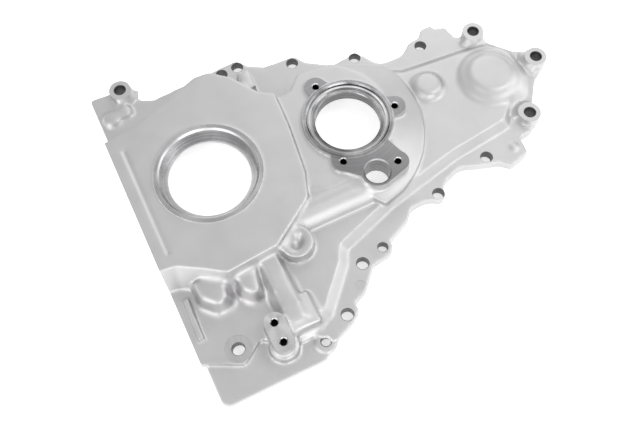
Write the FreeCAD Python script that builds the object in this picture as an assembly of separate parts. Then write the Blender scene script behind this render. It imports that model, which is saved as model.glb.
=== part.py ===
"""Timing cover: one aluminium casting that closes the gear case at the front of an engine.

It lies on its gasket face. The origin is on the crankshaft's axis in the plane of that face,
+Z points out of the engine, +X points up the engine from the sump rail to the far tip,
and +Y runs along the rail.
"""
import FreeCAD, Part
import math
import os

V = FreeCAD.Vector
UP = V(0, 0, 1)

# Levels above the gasket face
foot_top = 5.0
flange_top = 8.0
floor_top = 14.0
lug_top = 14.0
rib_top = 12.0
deck_top = 27.0
plateau_top = 30.0
pump_face = 30.0

# Walls, and the slope of the floor's edge
wall = 5.0
wall_run = 6.0

# How far joined forms run into each other, and how far a cutter stands out of the metal
lap = 1.0
# Most of a side's length that one of its two corner arcs may take
side_share = 0.45

# Crankshaft seal bore, on the origin
crank_bore_r = 36.0
crank_bore_depth = 9.5
crank_lip_r = 31.0
crank_lip = 2.5
crank_ring_r = 40.0
crank_ring_rise = 0.8
hub_wall = 6.5

# Pump bore and the machined pad round it
pump_x = 112.5
pump_y = -4.0
pump_seat_r = 31.0
pump_seat_depth = 3.5
pump_bore_r = 25.0
pump_bore_length = 9.0
pad_r = 34.5
ear_r = 8.3
ear_root_r = 14.3
web_r = 7.5
ear_circle_r = 37.3
ear_angles = (-9.0, 105.0, -122.0)
pilot_centre = (111.5, -54.0)
pilot_r = 9.5
pilot_lobe_r = 12.0
pilot_root_r = 16.0
pilot_length = 18.0
far_ear = (129.0, -53.0)
pad_tap_r = 2.5
pad_tap_depth = 14.0
tap_floor = 3.0

# Round bulge over the idler gear, with a slope down to its rim
bulge_x = 94.3
bulge_y = 1.0
bulge_r = 77.6
bulge_crown_r = 54.0
bulge_rim_top = 17.5

# Oil gallery that joins the plateau to the pilot bore
gallery_r = 14.0
gallery_y = -55.0
gallery_start_x = 40.0
gallery_end_x = 104.0

# Oil return ridge that runs down to the switch pad
ridge_x = 12.0
ridge_width = 26.0
ridge_top = 22.0
ridge_from_y = -74.0
ridge_to_y = -132.0
ridge_end_run = 4.0
ridge_side_run = 7.0
ridge_foot_width = 22.0
ridge_foot_from = (16.0, -110.0)
ridge_foot_to = (16.0, -134.0)
ridge_foot_top = 16.0

# Switch pad with its two tapped holes
switch_x = -3.4
switch_y = -122.2
switch_spacing = 15.0
switch_top = 22.0
switch_r = 7.5
switch_foot_r = 10.5
switch_foot_top = 14.0
switch_tap_r = 2.5
switch_tap_depth = 16.0

# Blind round bosses over the upper gears
small_boss = (186.5, 2.5)
small_boss_r = 13.0
small_boss_rise = 5.0
big_boss = (236.0, -11.5)
big_boss_r = 19.5
big_boss_step_r = 26.0
big_boss_step_rise = 3.0
big_boss_rise = 6.5

# Fixing holes
bolt_r = 4.5
lug_r = 8.7
bolts = ((45.8, 89.4), (60.0, 90.5), (101.6, 74.1), (149.6, 56.3), (203.3, 42.7),
         (198.3, -70.6), (150.0, -81.6), (73.3, -106.1), (46.1, -135.5), (-32.6, -124.2))
long_bolts = ((-33.3, 108.0), (246.4, 32.9), (279.0, -11.0), (246.4, -53.7))
dowel_hole = (92.2, -101.3)
dowel_hole_r = 3.7
dowel_lug_r = 7.4
bracket_hole = (24.2, -145.8)
bracket_hole_r = 3.45
bracket_boss_r = 8.0
bracket_boss_rise = 1.5

# Sump rail
rail_x = -60.0
rail_depth = 16.0
rail_height = 14.0
rail_from_y = -62.0
rail_to_y = 48.0
rail_tap_r = 2.5
rail_tap_depth = 12.0
rail_taps_y = (-50.0, 36.0)
groove_width = 3.0
groove_depth = 1.2
groove_x = -51.0
groove_from_y = -47.0
groove_to_y = 45.0

# Outlines: each corner is x, y and the radius of its arc, or 0 where two sides simply meet
flange_corners = (
    (-60.0, -122.0, 0), (-33.0, -136.5, 4.0), (-16.0, -125.0, 3.0), (4.0, -139.5, 0),
    (20.0, -139.0, 3.0), (30.0, -149.0, 3.0), (47.0, -142.5, 0), (55.0, -137.0, 4.0),
    (55.0, -129.8, 3.0), (65.5, -126.0, 0), (80.5, -110.0, 4.0), (92.0, -108.8, 5.0),
    (100.0, -99.0, 0), (119.0, -90.5, 0), (126.0, -82.5, 8.0), (139.0, -82.0, 0),
    (150.0, -86.0, 3.0), (160.0, -74.5, 0), (176.0, -68.5, 14.0), (190.0, -74.0, 0),
    (206.0, -79.0, 0), (213.0, -85.5, 3.0), (229.5, -81.0, 4.0), (230.0, -67.5, 2.5),
    (243.0, -65.5, 0), (255.0, -54.0, 5.0), (255.0, -46.0, 0), (269.0, -27.5, 0),
    (285.0, -17.0, 5.0), (283.0, -2.8, 5.0), (268.5, 4.5, 0), (253.5, 22.0, 3.0),
    (255.0, 36.0, 5.0), (233.0, 36.5, 4.0), (230.5, 50.5, 2.5), (222.0, 52.5, 3.0),
    (221.0, 57.3, 2.5), (211.0, 56.8, 3.0), (206.0, 50.8, 3.0), (196.0, 49.5, 0),
    (185.0, 40.5, 18.0), (164.0, 41.5, 14.0), (157.0, 55.0, 0), (149.0, 60.0, 3.0),
    (130.0, 58.0, 9.0), (112.0, 70.0, 0), (106.0, 80.0, 5.0), (80.0, 81.0, 0), (68.0, 88.0, 0),
    (62.0, 97.0, 6.0), (-12.0, 91.5, 0), (-22.0, 96.0, 5.0), (-26.5, 112.0, 5.0),
    (-58.0, 113.0, 2.0), (-58.0, 62.0, 0), (-60.0, 62.0, 0))
foot_corners = (
    (-57.5, -120.0, 0), (-57.5, -157.0, 6.0), (19.0, -157.0, 5.0), (33.0, -148.5, 3.0),
    (33.0, -130.0, 0), (5.0, -118.0, 0))
floor_corners = (
    (13.0, -80.0, 0), (9.0, -137.0, 0), (21.0, -138.0, 0), (36.0, -132.0, 0), (63.0, -102.5, 0),
    (68.0, -92.5, 9.0), (114.0, -76.5, 0), (175.0, -62.5, 0), (227.0, -56.0, 6.0),
    (240.0, -42.5, 0), (257.0, -37.5, 14.0), (269.0, -18.0, 16.0), (264.0, 8.0, 16.0),
    (248.0, 22.5, 10.0), (178.0, 28.0, 0), (150.0, 42.5, 0), (122.0, 52.0, 0), (98.0, 55.0, 8.0),
    (88.0, 46.0, 6.0), (10.0, 60.0, 10.0))
# Corners of the plateau at its top, with how far the wall that starts there runs out to its foot
plateau_corners = (
    (-60.0, -56.0, 0, 9.0), (-49.0, -57.5, 0, 9.0), (-31.0, -68.5, 0, 9.0),
    (-18.0, -77.5, 8.0, 7.0), (22.0, -74.0, 0, 7.0), (57.0, -50.0, 12.0, 3.0),
    (64.0, -30.0, 0, 3.0), (70.0, 12.0, 0, 3.0), (72.0, 41.0, 2.0, 6.0), (61.0, 48.0, 0, 6.0),
    (48.0, 69.0, 0, 6.0), (34.0, 81.0, 10.0, 6.0), (22.0, 81.5, 0, 6.0), (-14.0, 68.0, 0, 6.0),
    (-46.0, 58.5, 0, 6.0), (-60.0, 57.0, 0, 0.0))
# Outline that trims the bulge
bulge_corners = (
    (40.0, -50.0, 0), (98.0, -50.0, 3.0), (99.5, -66.0, 0), (108.0, -75.0, 3.0),
    (138.0, -66.5, 0), (182.0, -56.0, 4.0), (182.0, 26.0, 4.0), (150.0, 38.5, 0), (122.0, 48.0, 0),
    (96.0, 51.0, 6.0), (84.0, 39.5, 0), (75.0, 38.0, 0), (64.0, 44.0, 0), (50.0, 56.0, 0))

# Boss at the plateau's lower corner
corner_boss = (35.5, -75.5)
corner_boss_r = 12.5
corner_boss_top = 25.0

# Lumps under the plateau's wall: outline of the foot, and the top
lumps = (
    (((-47.0, -66.0, 0), (-46.0, -86.0, 0), (-34.0, -99.0, 5.0), (-20.0, -94.0, 5.0),
      (-17.0, -66.0, 0)), 21.0),
    (((-18.5, -70.0, 0), (-18.0, -92.0, 0), (-9.0, -102.0, 5.0), (2.0, -99.0, 0),
      (8.0, -70.0, 0)), 21.0))
lump_run = 5.0

# Short rib that stands on the flange against the plateau's upper wall
post_rib_from = (59.0, 60.0)
post_rib_to = (59.8, 78.0)
post_rib_width = 11.0
post_rib_top = 20.0

# Rib along the left edge
edge_rib_from = (-52.0, -76.0)
edge_rib_to = (-53.0, -108.0)
edge_rib_width = 4.0

# Ribs behind the casting
rib_width = 4.0
tap_rib_width = 12.0
rib_depth = 9.0
hub_ribs = ((62.0, 76.0), (118.0, 66.0), (242.0, 70.0))
pump_ribs = ((0.0, 62.0), (180.0, 46.0))


def corner_arcs(corners, z, radii):
    """Start, middle and end of the arc at each corner of an outline."""
    arcs = []
    for index, (x, y, _) in enumerate(corners):
        here = V(x, y, z)
        before = V(*corners[index - 1][:2], z) - here
        after = V(*corners[(index + 1) % len(corners)][:2], z) - here
        half = before.getAngle(after) / 2
        reach = radii[index] / math.tan(half)
        before.normalize()
        after.normalize()
        inward = (before + after).normalize()
        middle = here + inward * (radii[index] / math.sin(half) - radii[index])
        arcs.append((here + before * reach, middle, here + after * reach))
    return arcs


def fitting_radii(corners):
    """Radius at each corner, no larger than its two sides have room for."""
    radii = []
    for index, (x, y, radius) in enumerate(corners):
        before = V(*corners[index - 1][:2]) - V(x, y)
        after = V(*corners[(index + 1) % len(corners)][:2]) - V(x, y)
        room = side_share * min(before.Length, after.Length) * math.tan(before.getAngle(after) / 2)
        radii.append(min(radius, room))
    return radii


def arcs_wire(arcs):
    """Closed outline of the given arcs and the straight lines between them."""
    edges = []
    for index, (start, middle, end) in enumerate(arcs):
        if start != end:
            edges.append(Part.Arc(start, middle, end).toShape())
        edges.append(Part.makeLine(end, arcs[(index + 1) % len(arcs)][0]))
    return Part.Wire(edges)


def rounded_wire(corners, z):
    """Closed outline of straight lines joined by tangent arcs."""
    return arcs_wire(corner_arcs(corners, z, fitting_radii(corners)))


def moved_corners(corners, runs):
    """The same outline with each side moved inwards by its own run, for an outline that turns left."""
    lines = []
    for index, (x, y, _) in enumerate(corners):
        next_x, next_y, _ = corners[(index + 1) % len(corners)]
        along_x, along_y = next_x - x, next_y - y
        length = math.hypot(along_x, along_y)
        left_x, left_y = -along_y / length, along_x / length
        lines.append((left_x, left_y, left_x * x + left_y * y + runs[index]))
    moved = []
    for index, (_, _, radius) in enumerate(corners):
        a1, b1, c1 = lines[index - 1]
        a2, b2, c2 = lines[index]
        cross = a1 * b2 - a2 * b1
        moved.append(((c1 * b2 - c2 * b1) / cross, (a1 * c2 - a2 * c1) / cross, radius))
    return tuple(moved)


def plate(corners, bottom, top):
    """Flat plate with upright sides and rounded corners."""
    return Part.Face(rounded_wire(corners, bottom)).extrude(UP * (top - bottom))


def core(corners, top):
    """Hollow with upright sides, open at the gasket face."""
    points = [V(x, y, -lap) for x, y, _ in corners]
    return Part.Face(Part.makePolygon(points + points[:1])).extrude(UP * (top + lap))


def tapered_block(foot, runs, bottom, top):
    """Block with flat sides that lean in from its foot by their own runs, and equal arcs at each corner."""
    head = moved_corners(foot, runs)
    radii = [min(pair) for pair in zip(fitting_radii(foot), fitting_radii(head))]
    low = corner_arcs(foot, bottom, radii)
    high = corner_arcs(head, top, radii)
    faces = [Part.Face(arcs_wire(low)), Part.Face(arcs_wire(high))]
    for index, (start, middle, end) in enumerate(low):
        following = (index + 1) % len(low)
        if start != end:
            corner = Part.Arc(start, middle, end).toShape()
            faces.append(corner.extrude(high[index][0] - start))
        ring = [end, low[following][0], high[following][0], high[index][2], end]
        faces.append(Part.Face(Part.makePolygon(ring)))
    shell = Part.Shell(faces)
    shell.sewShape()
    block = Part.Solid(shell)
    if block.Volume < 0:
        block.reverse()
    return block


def post(centre, radius, bottom, top):
    """Upright round post."""
    return Part.makeCylinder(radius, top - bottom, V(centre[0], centre[1], bottom))


def turned(centre, profile):
    """Solid turned about an upright axis from a profile of radius and height."""
    points = [V(centre[0] + radius, centre[1], height) for radius, height in profile]
    face = Part.Face(Part.makePolygon(points + points[:1]))
    return face.revolve(V(centre[0], centre[1], 0), UP, 360)


def on_circle(centre, radius, angle):
    """Point on a circle at an angle in degrees."""
    turn = math.radians(angle)
    return (centre[0] + radius * math.cos(turn), centre[1] + radius * math.sin(turn))


def ear_centres():
    """Places of the four tapped holes of the pump pad."""
    return [on_circle((pump_x, pump_y), ear_circle_r, angle) for angle in ear_angles] + [far_ear]


def link_plate(first, first_r, second, second_r, bottom, top):
    """Plate round two discs and between their common tangents."""
    along = math.atan2(second[1] - first[1], second[0] - first[0])
    lean = math.acos((first_r - second_r) / math.dist(first, second))
    rim = []
    for centre, radius, start, sweep in ((first, first_r, along + lean, 2 * math.pi - 2 * lean),
                                         (second, second_r, along - lean, 2 * lean)):
        rim.append([V(centre[0] + radius * math.cos(start + sweep * share),
                      centre[1] + radius * math.sin(start + sweep * share), bottom)
                    for share in (0, 0.5, 1)])
    edges = [Part.Arc(*rim[0]).toShape(), Part.makeLine(rim[0][2], rim[1][0]),
             Part.Arc(*rim[1]).toShape(), Part.makeLine(rim[1][2], rim[0][0])]
    return Part.Face(Part.Wire(edges)).extrude(UP * (top - bottom))


def joined(solids):
    """One solid from many that overlap."""
    return solids[0].fuse(list(solids[1:])).removeSplitter()


def rib(start, end, thickness, bottom, top):
    """Straight upright rib between two points."""
    length = math.dist(start, end)
    bar = Part.makeBox(length, thickness, top - bottom, V(0, -thickness / 2, 0))
    bar.rotate(V(0, 0, 0), UP, math.degrees(math.atan2(end[1] - start[1], end[0] - start[0])))
    bar.translate(V(start[0], start[1], bottom))
    return bar


def log(radius, start, end):
    """Round bar between two points in space."""
    axis = V(*end) - V(*start)
    return Part.makeCylinder(radius, axis.Length, V(*start), axis)


def plateau_block():
    """Raised plate that carries the crankshaft seal, with walls that lean out to the flange."""
    head = tuple(corner[:3] for corner in plateau_corners)
    runs = [corner[3] for corner in plateau_corners]
    foot = moved_corners(head, [-run for run in runs])
    return tapered_block(foot, runs, flange_top, plateau_top)


def floor_block():
    """Low floor of the gear case, with a sloped wall down to the flange."""
    return tapered_block(floor_corners, [wall_run] * len(floor_corners), flange_top, floor_top)


def bulge_block():
    """Round bulge over the idler gear, trimmed where the case ends."""
    cone = turned((bulge_x, bulge_y), (
        (0, flange_top), (bulge_r, flange_top), (bulge_r, bulge_rim_top), (bulge_crown_r, deck_top),
        (0, deck_top)))
    return cone.common(plate(bulge_corners, flange_top, deck_top + lap))


def gallery_bar():
    """Half-round ridge over the oil gallery."""
    axis_z = deck_top - gallery_r
    start = (gallery_start_x, gallery_y)
    end = (gallery_end_x, gallery_y)
    bar = log(gallery_r, (*start, axis_z), (*end, axis_z))
    return bar.common(rib(start, end, 2 * gallery_r, flange_top - lap, deck_top))


def ridge_block():
    """Ridge over the oil return, from the plateau down to the switch pad."""
    left = ridge_x - ridge_width / 2
    right = ridge_x + ridge_width / 2
    foot = ((left, ridge_to_y, 0), (right, ridge_to_y, 0), (right, ridge_from_y, 0),
            (left, ridge_from_y, 0))
    runs = (ridge_end_run, ridge_side_run, 0, ridge_side_run)
    return tapered_block(foot, runs, foot_top, ridge_top)


def lump(corners, top):
    """Soft lump under the plateau's wall, with sides that lean in."""
    return tapered_block(corners, [lump_run] * len(corners), foot_top, top)


def switch_boss():
    """Long boss whose top is the machined switch pad."""
    first = (switch_x, switch_y)
    second = (switch_x, switch_y - switch_spacing)
    shank = link_plate(first, switch_r, second, switch_r, lap, switch_top)
    return shank.fuse(post(second, switch_foot_r, lap, switch_foot_top))


def blind_bosses():
    """Two closed round bosses over the upper gears, one plain and one stepped."""
    root = floor_top - lap
    return [post(small_boss, small_boss_r, root, floor_top + small_boss_rise),
            post(big_boss, big_boss_step_r, root, floor_top + big_boss_step_rise),
            post(big_boss, big_boss_r, root, floor_top + big_boss_rise)]


def pump_pad():
    """Machined pad with three ears round the pump bore, a lobe round the pilot bore and a far ear."""
    centre = (pump_x, pump_y)
    bottom = floor_top
    lowest_ear = on_circle(centre, ear_circle_r, ear_angles[-1])
    plates = [post(centre, pad_r, bottom, pump_face),
              link_plate(centre, pilot_root_r, pilot_centre, pilot_lobe_r, bottom, pump_face),
              link_plate(pilot_centre, pilot_lobe_r, far_ear, ear_r, bottom, pump_face),
              link_plate(centre, web_r, far_ear, web_r, bottom, pump_face),
              link_plate(lowest_ear, web_r, pilot_centre, web_r, bottom, pump_face)]
    for angle in ear_angles:
        ear = on_circle(centre, ear_circle_r, angle)
        plates.append(link_plate(centre, ear_root_r, ear, ear_r, bottom, pump_face))
    return joined(plates)


def bolt_lugs():
    """Round lugs at the long bolts, the dowel and the bracket hole."""
    lugs = [post(centre, lug_r, 0, lug_top) for centre in long_bolts]
    lugs.append(post(dowel_hole, dowel_lug_r, 0, flange_top))
    lugs.append(post(bracket_hole, bracket_boss_r, 0, foot_top + bracket_boss_rise))
    return lugs


def rail_block():
    """Thick sump rail along the plateau's straight edge."""
    return Part.makeBox(rail_depth, rail_to_y - rail_from_y, rail_height,
                        V(rail_x, rail_from_y, plateau_top - rail_height))


def outer_form():
    """The casting as it looks from outside, still solid."""
    crank_ring = post((0, 0), crank_ring_r, deck_top, plateau_top + crank_ring_rise)
    forms = [plate(flange_corners, 0, flange_top), plate(foot_corners, 0, foot_top), floor_block(),
             plateau_block(), bulge_block(), gallery_bar(), ridge_block(), switch_boss(),
             post(corner_boss, corner_boss_r, flange_top, corner_boss_top), pump_pad(), crank_ring]
    forms += blind_bosses() + bolt_lugs()
    forms += [lump(corners, top) for corners, top in lumps]
    forms += [rib(edge_rib_from, edge_rib_to, edge_rib_width, flange_top - lap, rib_top),
              rib(post_rib_from, post_rib_to, post_rib_width, flange_top - lap, post_rib_top),
              rib(ridge_foot_from, ridge_foot_to, ridge_foot_width, foot_top - lap, ridge_foot_top)]
    return joined(forms)


def floor_hollow():
    """Hollow under the low floor, as far out as its sloped wall allows."""
    return core(moved_corners(floor_corners, [wall_run] * len(floor_corners)), floor_top - wall)


def plateau_hollow():
    """Hollow under the plateau, open to the sump along the rail."""
    head = tuple(corner[:3] for corner in plateau_corners)
    hollow = core(moved_corners(head, [wall] * len(head)), plateau_top - wall)
    mouth = Part.makeBox(rail_depth + lap, rail_to_y - rail_from_y - 2 * wall,
                         plateau_top - rail_height + lap, V(rail_x - lap, rail_from_y + wall, -lap))
    return hollow.cut(rail_block()).fuse(mouth)


def bulge_hollow():
    """Hollow under the bulge, one wall thinner all round."""
    roof = deck_top - wall
    cone = turned((bulge_x, bulge_y), (
        (0, -lap), (bulge_r - wall, -lap), (bulge_r - wall, bulge_rim_top - wall), (bulge_crown_r, roof),
        (0, roof)))
    return cone.common(core(moved_corners(bulge_corners, [wall] * len(bulge_corners)), roof))


def gallery_hollow():
    """Half-round hollow behind the gallery ridge."""
    axis_z = deck_top - gallery_r
    return log(gallery_r - wall, (gallery_start_x + wall, gallery_y, axis_z),
               (gallery_end_x - wall, gallery_y, axis_z))


def inner_form():
    """Hubs, bosses and ribs that stand in the hollow."""
    hub_foot = plateau_top + crank_ring_rise - crank_bore_depth - crank_lip
    pump_foot = pump_face - pump_seat_depth - pump_bore_length
    crank_hub_r = crank_bore_r + hub_wall
    pump_hub_r = pump_bore_r + hub_wall
    forms = [post((0, 0), crank_hub_r, hub_foot, plateau_top - lap),
             post((pump_x, pump_y), pump_hub_r, pump_foot, pump_face - lap),
             post(pilot_centre, pilot_r + wall, pump_face - pilot_length, pump_face - lap)]
    for x, y in ear_centres():
        angle = math.degrees(math.atan2(y - pump_y, x - pump_x))
        reach = math.dist((x, y), (pump_x, pump_y)) + tap_rib_width / 2
        forms.append(rib(on_circle((pump_x, pump_y), pump_hub_r - lap, angle),
                         on_circle((pump_x, pump_y), reach, angle),
                         tap_rib_width, pump_face - pad_tap_depth - tap_floor, pump_face - lap))
    for angle, reach in hub_ribs:
        forms.append(rib(on_circle((0, 0), crank_hub_r - lap, angle), on_circle((0, 0), reach, angle),
                         rib_width, plateau_top - wall - rib_depth, plateau_top - lap))
    for angle, reach in pump_ribs:
        centre = (pump_x, pump_y)
        forms.append(rib(on_circle(centre, pump_hub_r - lap, angle), on_circle(centre, reach, angle),
                         rib_width, deck_top - wall - rib_depth, pump_face - lap))
    return joined(forms)


def crank_bore():
    """Stepped seal bore of the crankshaft."""
    face = plateau_top + crank_ring_rise
    seat = face - crank_bore_depth
    return turned((0, 0), ((0, -lap), (crank_lip_r, -lap), (crank_lip_r, seat), (crank_bore_r, seat),
                           (crank_bore_r, face + lap), (0, face + lap)))


def pump_bore():
    """Stepped bore that locates the pump."""
    seat = pump_face - pump_seat_depth
    return turned((pump_x, pump_y), ((0, -lap), (pump_bore_r, -lap), (pump_bore_r, seat),
                                     (pump_seat_r, seat), (pump_seat_r, pump_face + lap),
                                     (0, pump_face + lap)))


def pilot_bore():
    """Bore below the pump that takes the pilot sleeve."""
    return post(pilot_centre, pilot_r, -lap, pump_face + lap)


def blind_hole(centre, radius, depth, face):
    """Hole drilled for a thread, which doesn't come out behind."""
    return post(centre, radius, face - depth, face + lap)


def through_hole(centre, radius, face):
    """Fixing hole that goes right through."""
    return post(centre, radius, -lap, face + lap)


def rail_tap(y):
    """Tapped hole in the sump rail."""
    z = plateau_top - rail_height / 2
    return log(rail_tap_r, (rail_x - lap, y, z), (rail_x + rail_tap_depth, y, z))


def cuts():
    """Every bore, hole, pocket and groove that is cut into the cored casting."""
    tools = [crank_bore(), pump_bore(), pilot_bore()]
    tools += [blind_hole(ear, pad_tap_r, pad_tap_depth, pump_face) for ear in ear_centres()]
    tools += [blind_hole((switch_x, switch_y - drop), switch_tap_r, switch_tap_depth, switch_top)
              for drop in (0, switch_spacing)]
    tools += [through_hole(centre, bolt_r, flange_top) for centre in bolts]
    tools += [through_hole(centre, bolt_r, lug_top) for centre in long_bolts]
    tools.append(post(dowel_hole, dowel_hole_r, -lap, flange_top + lap))
    tools.append(post(bracket_hole, bracket_hole_r, -lap, flange_top + lap))
    tools += [rail_tap(y) for y in rail_taps_y]
    tools.append(Part.makeBox(groove_width, groove_to_y - groove_from_y, groove_depth + lap,
                              V(groove_x, groove_from_y, plateau_top - groove_depth)))
    return tools


def timing_cover():
    """The whole casting, cored from behind and machined."""
    outer = outer_form()
    posts = inner_form()
    cored = outer
    for hollow in (floor_hollow(), plateau_hollow(), bulge_hollow(), gallery_hollow()):
        cored = cored.cut(hollow)
    full = cored.fuse(posts.common(outer))
    return full.cut(cuts()).removeSplitter()


os.makedirs("parts", exist_ok=True)
cover = timing_cover()
print("solids", len(cover.Solids), "valid", cover.isValid(), "volume", round(cover.Volume),
      "box", cover.BoundBox, "faces", len(cover.Faces))
cover.exportStep("parts/timing_cover.step")
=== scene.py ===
# %% [markdown]
# The part is the cover of an engine's timing gears: one die casting in aluminium.
# Its skin is soft and satin, because molten metal rounds every corner of the die.
# Its joint face, pad, rings and holes are cut afterwards, so they are sharp and bright.
# The scene follows the same order: a soft casting first, then the machining.

# %% Load the frame
import bpy
import math
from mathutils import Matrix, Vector


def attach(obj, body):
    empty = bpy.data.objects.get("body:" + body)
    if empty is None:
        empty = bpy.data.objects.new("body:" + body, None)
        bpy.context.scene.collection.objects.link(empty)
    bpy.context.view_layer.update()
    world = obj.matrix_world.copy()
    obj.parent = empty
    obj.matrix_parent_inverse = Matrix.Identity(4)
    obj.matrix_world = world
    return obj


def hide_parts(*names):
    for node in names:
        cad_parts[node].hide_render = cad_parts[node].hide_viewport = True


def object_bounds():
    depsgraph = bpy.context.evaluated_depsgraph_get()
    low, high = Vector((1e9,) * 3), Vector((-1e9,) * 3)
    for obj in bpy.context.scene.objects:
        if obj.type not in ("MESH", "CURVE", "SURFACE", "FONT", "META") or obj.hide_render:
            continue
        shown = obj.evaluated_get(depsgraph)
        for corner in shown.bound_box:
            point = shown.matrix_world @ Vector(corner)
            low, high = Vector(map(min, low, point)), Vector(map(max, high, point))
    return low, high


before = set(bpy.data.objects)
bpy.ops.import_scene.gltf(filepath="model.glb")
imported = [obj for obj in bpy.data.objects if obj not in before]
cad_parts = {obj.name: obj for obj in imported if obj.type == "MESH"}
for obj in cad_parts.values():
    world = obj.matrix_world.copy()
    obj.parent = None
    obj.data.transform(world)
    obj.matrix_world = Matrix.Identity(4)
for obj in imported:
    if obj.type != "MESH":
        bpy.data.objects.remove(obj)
cad_low, cad_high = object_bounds()
cover_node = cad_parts["timing_cover"]
print("frame from", tuple(cad_low), "to", tuple(cad_high))

# %% [markdown]
# Every machined feature is cut at the place where the frame has it, so its sizes are named first.
# Heights are counted from the gasket face, which lies on z = 0.

# %% Places of the machined features
MM = 0.001
pad_z = 30.0 * MM
switch_z = 22.0 * MM
flange_z = 8.0 * MM
lug_z = 14.0 * MM
ring_z = 30.8 * MM
rail_x = -60.0 * MM
rail_tap_z = 23.0 * MM
crank = (0.0, 0.0)
pump = (112.5 * MM, -4.0 * MM)
pilot = (111.5 * MM, -54.0 * MM)
far_ear = (129.0 * MM, -53.0 * MM)
ear_circle_r = 37.3 * MM
ear_angles = (-9.0, 105.0, -122.0)
switch_holes = ((-3.4 * MM, -122.2 * MM), (-3.4 * MM, -137.2 * MM))
bolt_holes = [(x * MM, y * MM) for x, y in (
    (45.8, 89.4), (60.0, 90.5), (101.6, 74.1), (149.6, 56.3), (203.3, 42.7),
    (198.3, -70.6), (150.0, -81.6), (73.3, -106.1), (46.1, -135.5), (-32.6, -124.2))]
long_bolt_holes = [(x * MM, y * MM) for x, y in (
    (-33.3, 108.0), (246.4, 32.9), (279.0, -11.0), (246.4, -53.7))]
dowel_hole = (92.2 * MM, -101.3 * MM)
bracket_hole = (24.2 * MM, -145.8 * MM)
rail_taps_y = (-50.0 * MM, 36.0 * MM)
small_boss = (186.5 * MM, 2.5 * MM)
big_boss = (236.0 * MM, -11.5 * MM)
pin_mark = (64.0 * MM, -120.0 * MM)
bolt_r = 4.5 * MM
tap_r = 2.5 * MM
ears = [(pump[0] + ear_circle_r * math.cos(math.radians(a)),
         pump[1] + ear_circle_r * math.sin(math.radians(a))) for a in ear_angles] + [far_ear]
print("fixing holes", len(bolt_holes) + len(long_bolt_holes), "tapped holes on the pad", len(ears))

# %% [markdown]
# A few helpers keep the cells short. The operators act on whatever is selected,
# so each helper first selects only its own object.

# %% Helpers for selecting
def select_only(obj):
    bpy.ops.object.select_all(action="DESELECT")
    obj.select_set(True)
    bpy.context.view_layer.objects.active = obj


def select_points(obj, test):
    """Goes to edit mode with only the points that pass the test selected."""
    select_only(obj)
    bpy.ops.object.mode_set(mode="EDIT")
    bpy.ops.mesh.select_mode(type="VERT")
    bpy.ops.mesh.select_all(action="DESELECT")
    bpy.ops.object.mode_set(mode="OBJECT")
    for point in obj.data.vertices:
        point.select = test(point.co)
    bpy.ops.object.mode_set(mode="EDIT")


def shift_points(obj, test, value):
    """Moves the points that pass the test, as a founder adds metal where it will be machined."""
    select_points(obj, test)
    bpy.ops.transform.translate(value=value)
    bpy.ops.object.mode_set(mode="OBJECT")


def scale_points(obj, test, centre, ratio):
    """Scales the points that pass the test towards or away from an upright axis."""
    select_points(obj, test)
    bpy.ops.transform.resize(value=(ratio, ratio, 1), center_override=(centre[0], centre[1], 0))
    bpy.ops.object.mode_set(mode="OBJECT")


def apply_modifiers(obj):
    select_only(obj)
    for modifier in list(obj.modifiers):
        bpy.ops.object.modifier_apply(modifier=modifier.name)


def join_all(objects, name):
    """Joins the objects into the first of them."""
    select_only(objects[0])
    for other in objects[1:]:
        other.select_set(True)
    bpy.ops.object.join()
    objects[0].name = name
    return objects[0]


def cut(obj, cutters, name):
    """Takes the cutters away from the object. The new faces keep the cutters' finishes."""
    tool = join_all(cutters, name)
    machining = obj.modifiers.new("machining", "BOOLEAN")
    machining.operation = "DIFFERENCE"
    machining.solver = "EXACT"
    machining.material_mode = "TRANSFER"
    machining.object = tool
    apply_modifiers(obj)
    bpy.data.objects.remove(tool)
    print(name, "leaves", len(obj.data.polygons), "faces")

# %% [markdown]
# A cutter or a plug is a turned form. It starts as a filled circle at its lowest height, and the
# face is extruded and scaled from one step of the profile to the next. Large rounds get more
# corners than small ones, so that both look round.

# %% Turned forms and boxes
bore_corners = 128
spot_corners = 64
hole_corners = 40
tap_corners = 28
plug_corners = 24


def turned(centre, profile, corners):
    """Solid of revolution about an upright axis, from pairs of radius and height."""
    first_r, first_z = profile[0]
    bpy.ops.object.select_all(action="DESELECT")
    bpy.ops.mesh.primitive_circle_add(vertices=corners, radius=first_r, fill_type="NGON",
                                      location=(centre[0], centre[1], first_z))
    solid = bpy.context.object
    bpy.ops.object.transform_apply(location=True, rotation=True, scale=True)
    bpy.ops.object.mode_set(mode="EDIT")
    bpy.ops.mesh.select_all(action="SELECT")
    for (low_r, low_z), (high_r, high_z) in zip(profile, profile[1:]):
        bpy.ops.mesh.extrude_region_move(TRANSFORM_OT_translate={"value": (0, 0, high_z - low_z)})
        ratio = high_r / low_r
        bpy.ops.transform.resize(value=(ratio, ratio, 1),
                                 center_override=(centre[0], centre[1], high_z))
    bpy.ops.mesh.select_all(action="SELECT")
    bpy.ops.mesh.normals_make_consistent(inside=False)
    bpy.ops.object.mode_set(mode="OBJECT")
    return solid


def block(low, high):
    """Upright box between two corners."""
    middle = [(a + b) / 2 for a, b in zip(low, high)]
    size = [b - a for a, b in zip(low, high)]
    bpy.ops.object.select_all(action="DESELECT")
    bpy.ops.mesh.primitive_cube_add(size=1, location=middle, scale=size)
    bpy.ops.object.transform_apply(location=True, rotation=True, scale=True)
    return bpy.context.object


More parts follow.
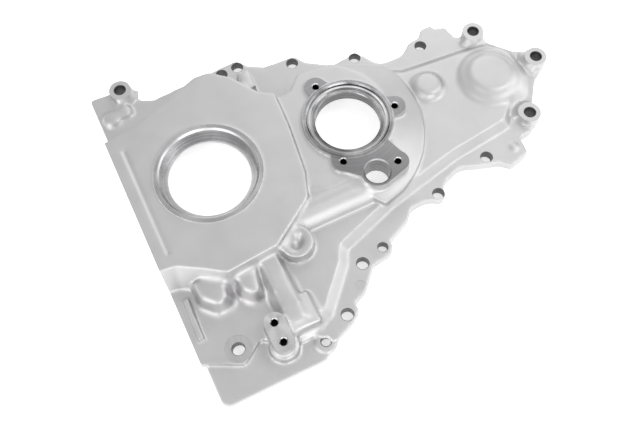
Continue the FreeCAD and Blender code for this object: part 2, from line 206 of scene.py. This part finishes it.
def lying_rod(x_from, x_to, y, z, radius, corners):
    """Round rod along X."""
    bpy.ops.object.select_all(action="DESELECT")
    bpy.ops.mesh.primitive_cylinder_add(vertices=corners, radius=radius, depth=x_to - x_from,
                                        location=((x_from + x_to) / 2, y, z),
                                        rotation=(0, math.radians(90), 0))
    bpy.ops.object.transform_apply(location=True, rotation=True, scale=True)
    return bpy.context.object

# %% [markdown]
# The casting starts as a copy of the frame's solid. The copy's stored normals are cleared, because
# the soft skin gets its own. Extra metal is left on each face that is machined later: below the
# gasket face, on the sump rail, the pad, the long lugs and the switch pad.

# %% Raw casting with machining allowance
allowance = 3.0 * MM
lug_allowance = 0.8 * MM
thin = 0.05 * MM
pad_from_x = 76.0 * MM
lug_reach = 9.2 * MM
switch_reach = 8.0 * MM


def near(co, places, radius):
    return any(math.hypot(co.x - x, co.y - y) < radius for x, y in places)


def at_height(co, height):
    return abs(co.z - height) < thin


casting = bpy.data.objects.new("cast_cover", cover_node.data.copy())
bpy.context.scene.collection.objects.link(casting)
select_only(casting)
bpy.ops.mesh.customdata_custom_splitnormals_clear()
select_points(casting, lambda co: True)
bpy.ops.mesh.remove_doubles(threshold=0.002 * MM)
bpy.ops.object.mode_set(mode="OBJECT")
shift_points(casting, lambda co: co.z < thin, (0, 0, -2 * allowance))
shift_points(casting, lambda co: co.x < rail_x + thin, (-allowance, 0, 0))
shift_points(casting, lambda co: co.x > pad_from_x and co.z > pad_z - thin, (0, 0, allowance))
shift_points(casting, lambda co: at_height(co, lug_z) and near(co, long_bolt_holes, lug_reach),
             (0, 0, lug_allowance))
shift_points(casting, lambda co: at_height(co, switch_z) and near(co, switch_holes, switch_reach),
             (0, 0, allowance))
print("raw casting", len(casting.data.vertices), "points")

# %% [markdown]
# A die needs slopes, so that the casting lets go of it. The two blind bosses are drawn in towards
# their tops: each ring of points is given by its middle, its height, the radii it lies between and
# the ratio it is scaled by. The long lugs flow out into the flange on the side that faces the part's
# middle. The ridge's foot is raised a little, because smoothing takes it down again.

# %% Slopes of the bosses and lugs
sloped_rings = ((small_boss, 19.0 * MM, 0.0, 13.2 * MM, 0.8),
                (big_boss, 20.5 * MM, 0.0, 19.7 * MM, 0.9),
                (big_boss, 17.0 * MM, 22.0 * MM, 26.2 * MM, 0.9))
lug_foot_from_r = 8.0 * MM
lug_foot_to_r = 8.9 * MM
inward_ways = ((0.3, -0.95), (-0.4, -0.92), (-1.0, 0.0), (-0.4, 0.92))
inward_part = 4.0 * MM
flare = 1.6
ridge_foot_z = 16.0 * MM
ridge_foot_x = (3.0 * MM, 29.0 * MM)
ridge_foot_y = (-136.0 * MM, -108.0 * MM)


def on_ring(co, centre, height, inner_r, outer_r):
    return at_height(co, height) and near(co, [centre], outer_r) and not near(co, [centre], inner_r)


def inside(co, limits_x, limits_y):
    return limits_x[0] < co.x < limits_x[1] and limits_y[0] < co.y < limits_y[1]


for centre, height, inner_r, outer_r, ratio in sloped_rings:
    scale_points(casting, lambda co: on_ring(co, centre, height, inner_r, outer_r), centre, ratio)
for hole, way in zip(long_bolt_holes, inward_ways):
    scale_points(casting, lambda co: on_ring(co, hole, flange_z, lug_foot_from_r, lug_foot_to_r)
                 and (co.x - hole[0]) * way[0] + (co.y - hole[1]) * way[1] > inward_part,
                 hole, flare)
shift_points(casting, lambda co: at_height(co, ridge_foot_z)
             and inside(co, ridge_foot_x, ridge_foot_y), (0, 0, allowance))
print("slopes on", len(sloped_rings), "boss rings and", len(long_bolt_holes), "lugs")

# %% [markdown]
# The die also leaves small marks: two low lumps beside the rail's upper end, a small one near the
# far edge, and a scooped pocket in the boss at the plateau's corner. Each lump is turned, from its
# place, the radius at its foot and at its top, and the height of its top, all in millimetres.

# %% Small cast marks
lump_sizes = ((-48.0, 88.0, 8.0, 6.0, 12.5), (-37.0, 90.0, 7.0, 5.0, 12.5),
              (222.0, -72.0, 4.0, 2.5, 9.2))
lump_root_z = 4.0 * MM
small_lumps = [turned((x * MM, y * MM), ((foot_r * MM, lump_root_z), (foot_r * MM, flange_z),
                                         (top_r * MM, top * MM)), 32)
               for x, y, foot_r, top_r, top in lump_sizes]
bpy.ops.object.select_all(action="DESELECT")
bpy.ops.mesh.primitive_uv_sphere_add(segments=48, ring_count=24, radius=1,
                                     location=(35.8 * MM, -75.8 * MM, 28.5 * MM),
                                     rotation=(0, 0, math.radians(-40)),
                                     scale=(5.8 * MM, 8.5 * MM, 9.0 * MM))
bpy.ops.object.transform_apply(location=True, rotation=True, scale=True)
cut(casting, [bpy.context.object], "scoop")
casting = join_all([casting] + small_lumps, "cast_cover")

# %% [markdown]
# The bores are filled for now. If they were only smoothed, their mouths would go round, and a
# machined edge is sharp. Each plug ends inside the boss behind it, so nothing shows at the back.

# %% Plugs in the bores
plug_top = 33.0 * MM
below = -6.0 * MM
rail_plug_depth = 13.0 * MM
small_tap_plug_r = 3.2 * MM
bolt_plug_r = 5.2 * MM
crank_plug_r = 39.5 * MM
pilot_plug_r = 10.5 * MM
pump_plug_r = 28.0 * MM
pump_mouth_plug_r = 33.0 * MM
large_plug_corners = 96
pilot_plug_corners = 48
plugs = [turned(crank, ((crank_plug_r, 19.6 * MM), (crank_plug_r, plug_top)), large_plug_corners),
         turned(pump, ((pump_plug_r, 18.3 * MM), (pump_plug_r, 27.0 * MM),
                       (pump_mouth_plug_r, 27.5 * MM), (pump_mouth_plug_r, plug_top)),
                large_plug_corners),
         turned(pilot, ((pilot_plug_r, 12.8 * MM), (pilot_plug_r, plug_top)), pilot_plug_corners)]
upright_plugs = [(ear, small_tap_plug_r, 15.0 * MM, plug_top) for ear in ears]
upright_plugs += [(hole, small_tap_plug_r, 5.0 * MM, switch_z + allowance) for hole in switch_holes]
upright_plugs += [(hole, bolt_plug_r, below, flange_z) for hole in bolt_holes]
upright_plugs += [(hole, bolt_plug_r, below, lug_z + allowance) for hole in long_bolt_holes]
upright_plugs += [(dowel_hole, 4.4 * MM, below, flange_z), (bracket_hole, 4.2 * MM, below, 6.5 * MM)]
plugs += [turned(place, ((radius, low_z), (radius, high_z)), plug_corners)
          for place, radius, low_z, high_z in upright_plugs]
plugs += [lying_rod(rail_x - allowance, rail_x + rail_plug_depth, y, rail_tap_z,
                    small_tap_plug_r, plug_corners) for y in rail_taps_y]
casting = join_all([casting] + plugs, "cast_cover")
print("plugs", len(plugs))

# %% [markdown]
# A voxel remesh turns the parts into one skin of small even faces, and the Smooth modifier then
# rounds every corner of it, inside and out, as the fillets of a die do.

# %% Soft skin
voxel = 1.0 * MM
smoothing = 0.5
smoothing_steps = 12
casting.data.remesh_voxel_size = voxel
casting.data.remesh_voxel_adaptivity = 0.0
select_only(casting)
bpy.ops.object.voxel_remesh()
soften = casting.modifiers.new("soften", "SMOOTH")
soften.factor = smoothing
soften.iterations = smoothing_steps
print("skin", len(casting.data.polygons), "faces")

# %% [markdown]
# Some places of the die are rounder still. Each is given by its middle, its radius, and the lowest
# and highest height that count, all in millimetres. The points in it join a vertex group, with less
# weight towards the rim, and a second Smooth modifier works on that group alone.

# %% Softer places
soft_places = ((-33, -86, 19, 5.5, 25), (-6, -90, 17, 5.5, 25), (12, -102, 15, 8.7, 23),
               (15, -122, 20, 6.5, 23), (99, -55, 13, 8.7, 28), (59.5, 70, 11, 8.7, 21),
               (35.5, -75.5, 14, 14.5, 26), (186.5, 2.5, 18, 13, 20), (236, -11.5, 31, 13, 22),
               (-43, 88, 14, 6.5, 14), (-33.3, 108.0, 17, 8.7, 14.2), (246.4, 32.9, 17, 8.7, 14.2),
               (279.0, -11.0, 17, 8.7, 14.2), (246.4, -53.7, 17, 8.7, 14.2))
lowest_soft_z = 5.5 * MM
extra_steps = 60
weight_rise = 3.0
extra_soft = casting.vertex_groups.new(name="extra_soft")
for point in casting.data.vertices:
    if point.co.z > lowest_soft_z:
        for x, y, radius, bottom, top in soft_places:
            away = math.hypot(point.co.x - x * MM, point.co.y - y * MM) / (radius * MM)
            if away < 1.0 and bottom * MM < point.co.z < top * MM:
                extra_soft.add([point.index], min(1.0, weight_rise * (1.0 - away)), "REPLACE")
                break
soften_places = casting.modifiers.new("soften_places", "SMOOTH")
soften_places.factor = smoothing
soften_places.iterations = extra_steps
soften_places.vertex_group = "extra_soft"
print("softer places", len(soft_places))

# %% [markdown]
# Decimate thins the flat stretches, where small faces do nothing. Then all three modifiers are
# applied, in their order.

# %% Thinner mesh
kept_share = 0.5
thin_out = casting.modifiers.new("thin_out", "DECIMATE")
thin_out.ratio = kept_share
apply_modifiers(casting)
casting.vertex_groups.clear()
print("skin", len(casting.data.polygons), "faces after thinning")

# %% [markdown]
# The metal itself has two finishes. The die leaves a satin skin with a fine grain and faint
# clouds of tone. A cutter leaves brighter metal with fine lines that follow its path. The grain is
# a node group, because both finishes use it, each with its own values.

# %% Grain group
def new_group(name, inputs, outputs):
    group = bpy.data.node_groups.new(name, "ShaderNodeTree")
    for label, kind, value in inputs:
        socket = group.interface.new_socket(name=label, in_out="INPUT", socket_type=kind)
        socket.default_value = value
    for label, kind in outputs:
        group.interface.new_socket(name=label, in_out="OUTPUT", socket_type=kind)
    return group, group.nodes.new("NodeGroupInput"), group.nodes.new("NodeGroupOutput")


def noise_node(tree, scale, detail, roughness=0.5):
    node = tree.nodes.new("ShaderNodeTexNoise")
    node.inputs["Scale"].default_value = scale
    node.inputs["Detail"].default_value = detail
    node.inputs["Roughness"].default_value = roughness
    return node


def math_node(tree, operation, first, second):
    """Maths node, where each value is a number or a socket."""
    node = tree.nodes.new("ShaderNodeMath")
    node.operation = operation
    for socket, value in zip(node.inputs, (first, second)):
        if isinstance(value, (int, float)):
            socket.default_value = value
        else:
            tree.links.new(value, socket)
    return node.outputs[0]


grain, grain_in, grain_out = new_group(
    "metal_grain",
    (("Vector", "NodeSocketVector", (0, 0, 0)), ("Grain scale", "NodeSocketFloat", 1400.0),
     ("Cloud scale", "NodeSocketFloat", 45.0)),
    (("Height", "NodeSocketFloat"), ("Clouds", "NodeSocketFloat")))
fine = noise_node(grain, 1400.0, 3.0, 0.6)
cloud = noise_node(grain, 45.0, 4.0, 0.55)
grain.links.new(grain_in.outputs["Vector"], fine.inputs["Vector"])
grain.links.new(grain_in.outputs["Grain scale"], fine.inputs["Scale"])
grain.links.new(grain_in.outputs["Vector"], cloud.inputs["Vector"])
grain.links.new(grain_in.outputs["Cloud scale"], cloud.inputs["Scale"])
grain.links.new(fine.outputs["Fac"], grain_out.inputs["Height"])
grain.links.new(cloud.outputs["Fac"], grain_out.inputs["Clouds"])
print("group", grain.name, "with", len(grain.nodes), "nodes")

# %% [markdown]
# The cast skin is a metal with a high roughness, so it shows broad soft lights. Two tones are
# mixed by the clouds, and the roughness moves a little with them.

# %% Cast skin
def new_material(name):
    material = bpy.data.materials.new(name)
    material.use_nodes = True
    tree = material.node_tree
    shader = tree.nodes["Principled BSDF"]
    place = tree.nodes.new("ShaderNodeTexCoord")
    return material, tree, shader, place.outputs["Object"]


def grain_node(tree, place, grain_scale, cloud_scale):
    node = tree.nodes.new("ShaderNodeGroup")
    node.node_tree = grain
    node.inputs["Grain scale"].default_value = grain_scale
    node.inputs["Cloud scale"].default_value = cloud_scale
    tree.links.new(place, node.inputs["Vector"])
    return node


def ramp_node(tree, factor, stops):
    node = tree.nodes.new("ShaderNodeValToRGB")
    for index, (position, colour) in enumerate(stops):
        if index < 2:
            stop = node.color_ramp.elements[index]
            stop.position = position
        else:
            stop = node.color_ramp.elements.new(position)
        stop.color = (*colour, 1.0)
    tree.links.new(factor, node.inputs["Fac"])
    return node.outputs["Color"]


def range_node(tree, value, low, high):
    """Spreads a mask of 0 to 1 between two values."""
    node = tree.nodes.new("ShaderNodeMapRange")
    node.inputs["To Min"].default_value = low
    node.inputs["To Max"].default_value = high
    tree.links.new(value, node.inputs["Value"])
    return node.outputs["Result"]


def bump_node(tree, height, strength, distance):
    node = tree.nodes.new("ShaderNodeBump")
    node.inputs["Strength"].default_value = strength
    node.inputs["Distance"].default_value = distance
    tree.links.new(height, node.inputs["Height"])
    return node.outputs["Normal"]


def cast_skin():
    material, tree, shader, place = new_material("cast_skin")
    node = grain_node(tree, place, 1500.0, 38.0)
    colour = ramp_node(tree, node.outputs["Clouds"],
                       ((0.3, (0.490, 0.485, 0.490)), (0.7, (0.535, 0.530, 0.535))))
    tree.links.new(colour, shader.inputs["Base Color"])
    tree.links.new(range_node(tree, node.outputs["Clouds"], 0.42, 0.50), shader.inputs["Roughness"])
    tree.links.new(bump_node(tree, node.outputs["Height"], 0.35, 0.12 * MM), shader.inputs["Normal"])
    shader.inputs["Metallic"].default_value = 0.85
    return material


# %% [markdown]
# A turned face carries rings about the axis it was turned on, and a bored wall carries rings one
# above the other. Both come from one noise, stretched so that it only changes with the distance
# from the axis and with the height.

# %% Turned metal
ring_lines = 2600.0
ring_bands = 500.0


def turned_metal(name, centre, tones, roughness, cool=0.0):
    """Metal with rings about a centre, between two grey tones, with a little more blue or none."""
    material, tree, shader, place = new_material(name)
    split = tree.nodes.new("ShaderNodeSeparateXYZ")
    tree.links.new(place, split.inputs[0])
    away_x = math_node(tree, "SUBTRACT", split.outputs["X"], centre[0])
    away_y = math_node(tree, "SUBTRACT", split.outputs["Y"], centre[1])
    squares = math_node(tree, "ADD", math_node(tree, "MULTIPLY", away_x, away_x),
                        math_node(tree, "MULTIPLY", away_y, away_y))
    distance = math_node(tree, "SQRT", squares, 0.0)
    around = tree.nodes.new("ShaderNodeCombineXYZ")
    tree.links.new(math_node(tree, "MULTIPLY", away_y, -1.0), around.inputs["X"])
    tree.links.new(away_x, around.inputs["Y"])
    tree.links.new(around.outputs[0], shader.inputs["Tangent"])
    shader.inputs["Anisotropic"].default_value = 0.8
    rings = tree.nodes.new("ShaderNodeCombineXYZ")
    tree.links.new(distance, rings.inputs["X"])
    tree.links.new(split.outputs["Z"], rings.inputs["Y"])
    lines = noise_node(tree, ring_lines, 2.0)
    tree.links.new(rings.outputs[0], lines.inputs["Vector"])
    broad = noise_node(tree, ring_bands, 2.0)
    tree.links.new(rings.outputs[0], broad.inputs["Vector"])
    node = grain_node(tree, place, 900.0, 60.0)
    mixed = math_node(tree, "MULTIPLY_ADD", broad.outputs["Fac"], 0.6)
    tree.links.new(math_node(tree, "MULTIPLY", node.outputs["Clouds"], 0.4), mixed.node.inputs[2])
    low, high = [(tone, tone, tone + cool) for tone in tones]
    colour = ramp_node(tree, mixed, ((0.35, low), (0.65, high)))
    tree.links.new(colour, shader.inputs["Base Color"])
    tree.links.new(range_node(tree, lines.outputs["Fac"], *roughness), shader.inputs["Roughness"])
    tree.links.new(bump_node(tree, lines.outputs["Fac"], 0.3, 0.06 * MM), shader.inputs["Normal"])
    shader.inputs["Metallic"].default_value = 1.0
    return material


print("rings at scales", ring_lines, "and", ring_bands)

# %% [markdown]
# The joint face and the rail are milled with a wide cutter, which leaves long straight lines. One
# noise makes them, squeezed along X so that it hardly changes that way.

# %% Milled metal
def milled_metal():
    """Milled joint face: long straight lines along X."""
    material, tree, shader, place = new_material("milled_metal")
    stretch = tree.nodes.new("ShaderNodeMapping")
    stretch.inputs["Scale"].default_value = (0.03, 1.0, 1.0)
    tree.links.new(place, stretch.inputs["Vector"])
    lines = noise_node(tree, 1400.0, 3.0)
    tree.links.new(stretch.outputs[0], lines.inputs["Vector"])
    node = grain_node(tree, place, 900.0, 30.0)
    colour = ramp_node(tree, node.outputs["Clouds"],
                       ((0.3, (0.50, 0.50, 0.50)), (0.7, (0.60, 0.60, 0.60))))
    tree.links.new(colour, shader.inputs["Base Color"])
    tree.links.new(range_node(tree, lines.outputs["Fac"], 0.24, 0.40), shader.inputs["Roughness"])
    tree.links.new(bump_node(tree, lines.outputs["Fac"], 0.35, 0.05 * MM), shader.inputs["Normal"])
    shader.inputs["Metallic"].default_value = 1.0
    return material


print("milled lines along X")

# %% [markdown]
# Each machined feature has its own finish: its centre, its darkest and brightest tone, and its
# smallest and largest roughness. The pump's seat is turned in streaks, with rings of tone that are
# partly turning marks and partly painted reflection. Its pad is even and painted a darker grey, a
# painted reflection of its dark surroundings. The holes and the pilot bore are given dark tones,
# painted shade, because little light gets into them.

# %% Finishes
cool = 0.005
skin_material = cast_skin()
crank_material = turned_metal("bored_seal_seat", crank, (0.38, 0.66), (0.18, 0.32), cool)
# The pad's grey is darker than the metal itself: a painted reflection of the dark surroundings it
# mirrors.
pump_pad_reflection_material = turned_metal("turned_pump_pad_painted_reflection", pump, (0.23, 0.29), (0.28, 0.34), cool)
# The seat's rings of tone run from dark to bright: partly turning marks, partly painted reflection
# of bright and dark streaks.
seat_rings_and_reflection_material = turned_metal("turned_pump_seat_painted_reflection", pump, (0.10, 0.62), (0.10, 0.24), cool)
# The pilot bore's wall and chamfer are given a dark tone: painted shade.
pilot_shade_material = turned_metal("reamed_pilot_bore_painted_shade", pilot, (0.18, 0.34), (0.30, 0.42), cool)
# The holes' walls are given a dark tone: painted shade, where little light gets in.
hole_shade_material = turned_metal("drilled_holes_painted_shade", pilot, (0.10, 0.18), (0.40, 0.52))
# The pump bore's wall below the seat is given a dark tone: painted shade.
wall_shade_material = turned_metal("bored_wall_painted_shade", pump, (0.10, 0.24), (0.25, 0.40))
tap_material = turned_metal("tapping_holes", pilot, (0.40, 0.55), (0.25, 0.36))
spot_material = turned_metal("switch_spot", switch_holes[0], (0.50, 0.58), (0.40, 0.50))
milled_material = milled_metal()
print("finishes", [m.name for m in bpy.data.materials])

# %% [markdown]
# Each cutter carries the finish that it leaves, and the Boolean modifier hands that finish on to the
# new faces. The milling cutters come first: the joint face, the pump pad and the switch pad are
# plain flat cuts, so each cutter is a box.

# %% Milled faces
def with_finish(cutter, material):
    cutter.data.materials.clear()
    cutter.data.materials.append(material)
    return cutter


casting.data.materials.clear()
casting.data.materials.append(skin_material)
margin = 20.0 * MM
low = Vector(cad_low) - Vector((margin,) * 3)
high = Vector(cad_high) + Vector((margin,) * 3)
pad_low = (pad_from_x, -70.0 * MM, pad_z)
pad_high = (165.0 * MM, 45.0 * MM, high.z)
switch_low = (-12.0 * MM, -147.0 * MM, switch_z)
switch_high = (5.0 * MM, -113.0 * MM, high.z)
gasket_cut = with_finish(block(low, (high.x, high.y, 0.0)), milled_material)
# The pad cutter carries the darker grey that paints the pad's reflection.
pad_cut = with_finish(block(pad_low, pad_high), pump_pad_reflection_material)
switch_cut = with_finish(block(switch_low, switch_high), spot_material)
cut(casting, [gasket_cut, pad_cut, switch_cut], "flat_cuts")

# %% [markdown]
# Round cutters from above level the tops of the long lugs, which keep their cast look, and make a
# spot face round one hole, the shallow print of an ejector pin, and the turned land round the pump
# bore. The rail is milled last.

# %% Round faces
lug_face_r = 13.0 * MM
lug_face_top = lug_z + 9.0 * MM
lug_corners = 48
spot_r = 9.8 * MM
spot_z = flange_z - 0.3 * MM
spot_top = flange_z + 5.0 * MM
pin_r = 3.6 * MM
land_r = 35.4 * MM
land_z = pad_z - 0.06 * MM


def faced(place, radius, face, top, corners, material):
    """Cutter that clears everything above a face, out to a radius."""
    return with_finish(turned(place, ((radius, face), (radius, top)), corners), material)


lug_cuts = [faced(place, lug_face_r, lug_z, lug_face_top, lug_corners, skin_material)
            for place in long_bolt_holes]
cut(casting, lug_cuts, "lug_cuts")
spot_cut = faced(bolt_holes[-1], spot_r, spot_z, spot_top, spot_corners, spot_material)
pin_cut = faced(pin_mark, pin_r, spot_z, spot_top, hole_corners, spot_material)
cut(casting, [spot_cut, pin_cut], "spot_cuts")
land_cut = faced(pump, land_r, land_z, high.z, bore_corners, seat_rings_and_reflection_material)
cut(casting, [land_cut], "land_cut")
rail_cut = with_finish(block(low, (rail_x, high.y, high.z)), milled_material)
cut(casting, [rail_cut], "rail_cut")

# %% [markdown]
# Then come the boring tools. A profile goes up the steps of its bore and, above the face, out over
# the ring or the chamfer that the tool leaves. The pump bore has two finishes: its seat is turned in
# streaks, partly painted reflection, and its wall below is painted dark, as painted shade.

# %% Stepped bores
start_z = -1.0 * MM
pump_seat_z = 26.5 * MM
pump_wall_top = 26.2 * MM
crank_cut = turned(crank, (
    (31.0 * MM, start_z), (31.0 * MM, 21.3 * MM), (36.0 * MM, 21.3 * MM), (36.0 * MM, 29.4 * MM),
    (37.4 * MM, ring_z), (40.0 * MM, ring_z), (40.0 * MM, 30.3 * MM), (46.0 * MM, 32.0 * MM),
    (46.0 * MM, 40.0 * MM)), bore_corners)
pump_cut = turned(pump, (
    (25.0 * MM, start_z), (25.0 * MM, 26.0 * MM), (25.6 * MM, pump_seat_z),
    (28.5 * MM, pump_seat_z), (28.5 * MM, 28.0 * MM), (31.0 * MM, 28.0 * MM),
    (31.0 * MM, 29.0 * MM), (32.0 * MM, pad_z), (33.0 * MM, 31.0 * MM)), bore_corners)
pilot_cut = turned(pilot, ((9.5 * MM, start_z), (9.5 * MM, 29.1 * MM), (10.4 * MM, pad_z),
                           (11.4 * MM, 31.0 * MM)), spot_corners)


def painted_shade_below(cutter, material, height):
    """Gives the cutter's faces below a height a second, dark material, which paints the shade inside
    a bore or hole.
    """
    cutter.data.materials.append(material)
    for face in cutter.data.polygons:
        if face.center.z < height:
            face.material_index = 1
    return cutter


bores = [with_finish(crank_cut, crank_material),
         painted_shade_below(with_finish(pump_cut, seat_rings_and_reflection_material), wall_shade_material, pump_wall_top),
         with_finish(pilot_cut, pilot_shade_material)]
print("stepped bores", len(bores))

# %% [markdown]
# The fixing holes go straight through, with only their edges broken. The tapping holes are blind.
# Those seen from the front have a countersunk mouth that catches the light, above a wall painted
# dark as painted shade, and the two in the rail are plain. Bores and holes are taken away in one
# cut, because none of them touches another.

# %% Holes
clear = 1.0 * MM
edge_break = 0.4 * MM
mouth_depth = 0.7 * MM
mouth_r = 3.2 * MM
clear_mouth_r = 4.2 * MM
# Depth below the face from which a tapping hole's wall is painted dark, as painted shade.
painted_shade_depth = 2.0 * MM
dowel_r = 3.7 * MM
bracket_r = 3.45 * MM
bracket_z = 6.3 * MM
pad_tap_bottom = 16.0 * MM
switch_tap_bottom = 6.0 * MM
rail_tap_depth = 12.0 * MM


def tapped(place, bottom, face):
    """Tapping hole with a countersunk mouth, above a wall painted dark as painted shade."""
    cutter = turned(place, ((tap_r, bottom), (tap_r, face - mouth_depth), (mouth_r, face),
                            (clear_mouth_r, face + clear)), tap_corners)
    return painted_shade_below(with_finish(cutter, tap_material), hole_shade_material, face - painted_shade_depth)


def punched(place, radius, face):
    """Through hole with only its edge broken."""
    cutter = turned(place, ((radius, start_z), (radius, face - edge_break),
                            (radius + 2 * edge_break, face + edge_break)), hole_corners)
    # The wall takes the dark hole material, which is painted shade.
    return with_finish(cutter, hole_shade_material)


tap_cuts = [tapped(place, pad_tap_bottom, pad_z) for place in ears]
tap_cuts += [tapped(place, switch_tap_bottom, switch_z) for place in switch_holes]
hole_cuts = [punched(place, bolt_r, flange_z) for place in bolt_holes[:-1]]
hole_cuts.append(punched(bolt_holes[-1], bolt_r, spot_z))
hole_cuts += [punched(place, bolt_r, lug_z) for place in long_bolt_holes]
hole_cuts += [punched(dowel_hole, dowel_r, flange_z), punched(bracket_hole, bracket_r, bracket_z)]
rail_rods = [lying_rod(rail_x - clear, rail_x + rail_tap_depth, y, rail_tap_z, tap_r, tap_corners)
             for y in rail_taps_y]
# The rail holes' walls take the same painted shade.
hole_cuts += [with_finish(rod, hole_shade_material) for rod in rail_rods]
cut(casting, bores + hole_cuts + tap_cuts, "bores_and_holes")

# %% [markdown]
# Shading is smooth over the cast fillets and breaks at the sharp machined edges, so it is set by
# the angle between faces.

# %% Finished casting
edge_angle = 32.0
select_only(casting)
bpy.ops.object.shade_smooth_by_angle(angle=math.radians(edge_angle))
triangles = sum(len(face.vertices) - 2 for face in casting.data.polygons)
print("finished casting", triangles, "triangles")
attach(casting, "root")
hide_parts("timing_cover")

# %% [markdown]
# The part lies on a plain pale floor. The floor glows a little, so that it stays white in the
# picture even where the part keeps the light away, as a lit table does.

# %% Floor
floor_size = 6.0
floor_gap = 0.2 * MM
floor_glow = 0.55
bpy.ops.object.select_all(action="DESELECT")
bpy.ops.mesh.primitive_plane_add(size=floor_size, location=(0.1, 0, -floor_gap))
floor = bpy.context.object
floor.name = "floor"
floor_material = bpy.data.materials.new("floor_paint")
floor_material.use_nodes = True
floor_shader = floor_material.node_tree.nodes["Principled BSDF"]
floor_shader.inputs["Base Color"].default_value = (0.86, 0.86, 0.86, 1)
floor_shader.inputs["Roughness"].default_value = 0.9
floor_shader.inputs["Emission Color"].default_value = (1.0, 1.0, 1.0, 1)
floor_shader.inputs["Emission Strength"].default_value = floor_glow
floor.data.materials.append(floor_material)
print("floor", floor_size, "m wide")

# %% [markdown]
# Metal shows what it mirrors. Three lamps stand high, to the left, to the right and behind, and give
# the flat faces their tone. Three stand low, in front and to both sides, so that the slopes and
# fillets which face them are bright, as in a light tent. A white world fills the rest.

# %% Lights
world_strength = 0.80
small_lamp = 0.5
large_lamp = 0.9


def soft_light(name, place, target, size, power):
    data = bpy.data.lights.new(name, "AREA")
    data.shape = "SQUARE"
    data.size = size
    data.energy = power
    lamp = bpy.data.objects.new(name, data)
    lamp.location = place
    lamp.rotation_mode = "QUATERNION"
    lamp.rotation_quaternion = (Vector(place) - Vector(target)).to_track_quat("Z", "Y")
    bpy.context.scene.collection.objects.link(lamp)
    return lamp


middle = (Vector(cad_low) + Vector(cad_high)) / 2
lamps = [soft_light("left", (-0.75, -0.35, 0.95), middle, small_lamp, 1.8),
         soft_light("right", (0.75, -0.25, 1.05), middle, small_lamp, 2.6),
         soft_light("low_left", (-1.1, -0.7, 0.45), middle, large_lamp, 5.4),
         soft_light("low_front", (0.1, -1.3, 0.5), middle, large_lamp, 6.0),
         soft_light("low_right", (1.3, -0.4, 0.4), middle, large_lamp, 3.4),
         soft_light("far", (0.75, 0.9, 0.9), middle, large_lamp, 3.2)]
world = bpy.data.worlds.new("studio")
world.use_nodes = True
world.node_tree.nodes["Background"].inputs["Color"].default_value = (1.0, 1.0, 1.0, 1.0)
world.node_tree.nodes["Background"].inputs["Strength"].default_value = world_strength
bpy.context.scene.world = world
bpy.context.scene.view_settings.view_transform = "Standard"
print("lamps", [lamp.name for lamp in lamps])

# %% [markdown]
# The camera stands over the lower left of the part, looks down on it, and is turned 26 degrees
# clockwise. Its place and lens come from the round bores, whose ellipses in the photo fix both.

# %% Camera
camera_data = bpy.data.cameras.new("camera")
camera_turn = (24.757, 0.587, -26.036)
camera_data.lens = 44.94
camera_data.sensor_width = 36.0
camera = bpy.data.objects.new("camera", camera_data)
camera.location = (-0.0410, -0.2823, 0.5471)
camera.rotation_euler = [math.radians(angle) for angle in camera_turn]
bpy.context.scene.collection.objects.link(camera)
bpy.context.scene.camera = camera
print("camera at", tuple(camera.location))
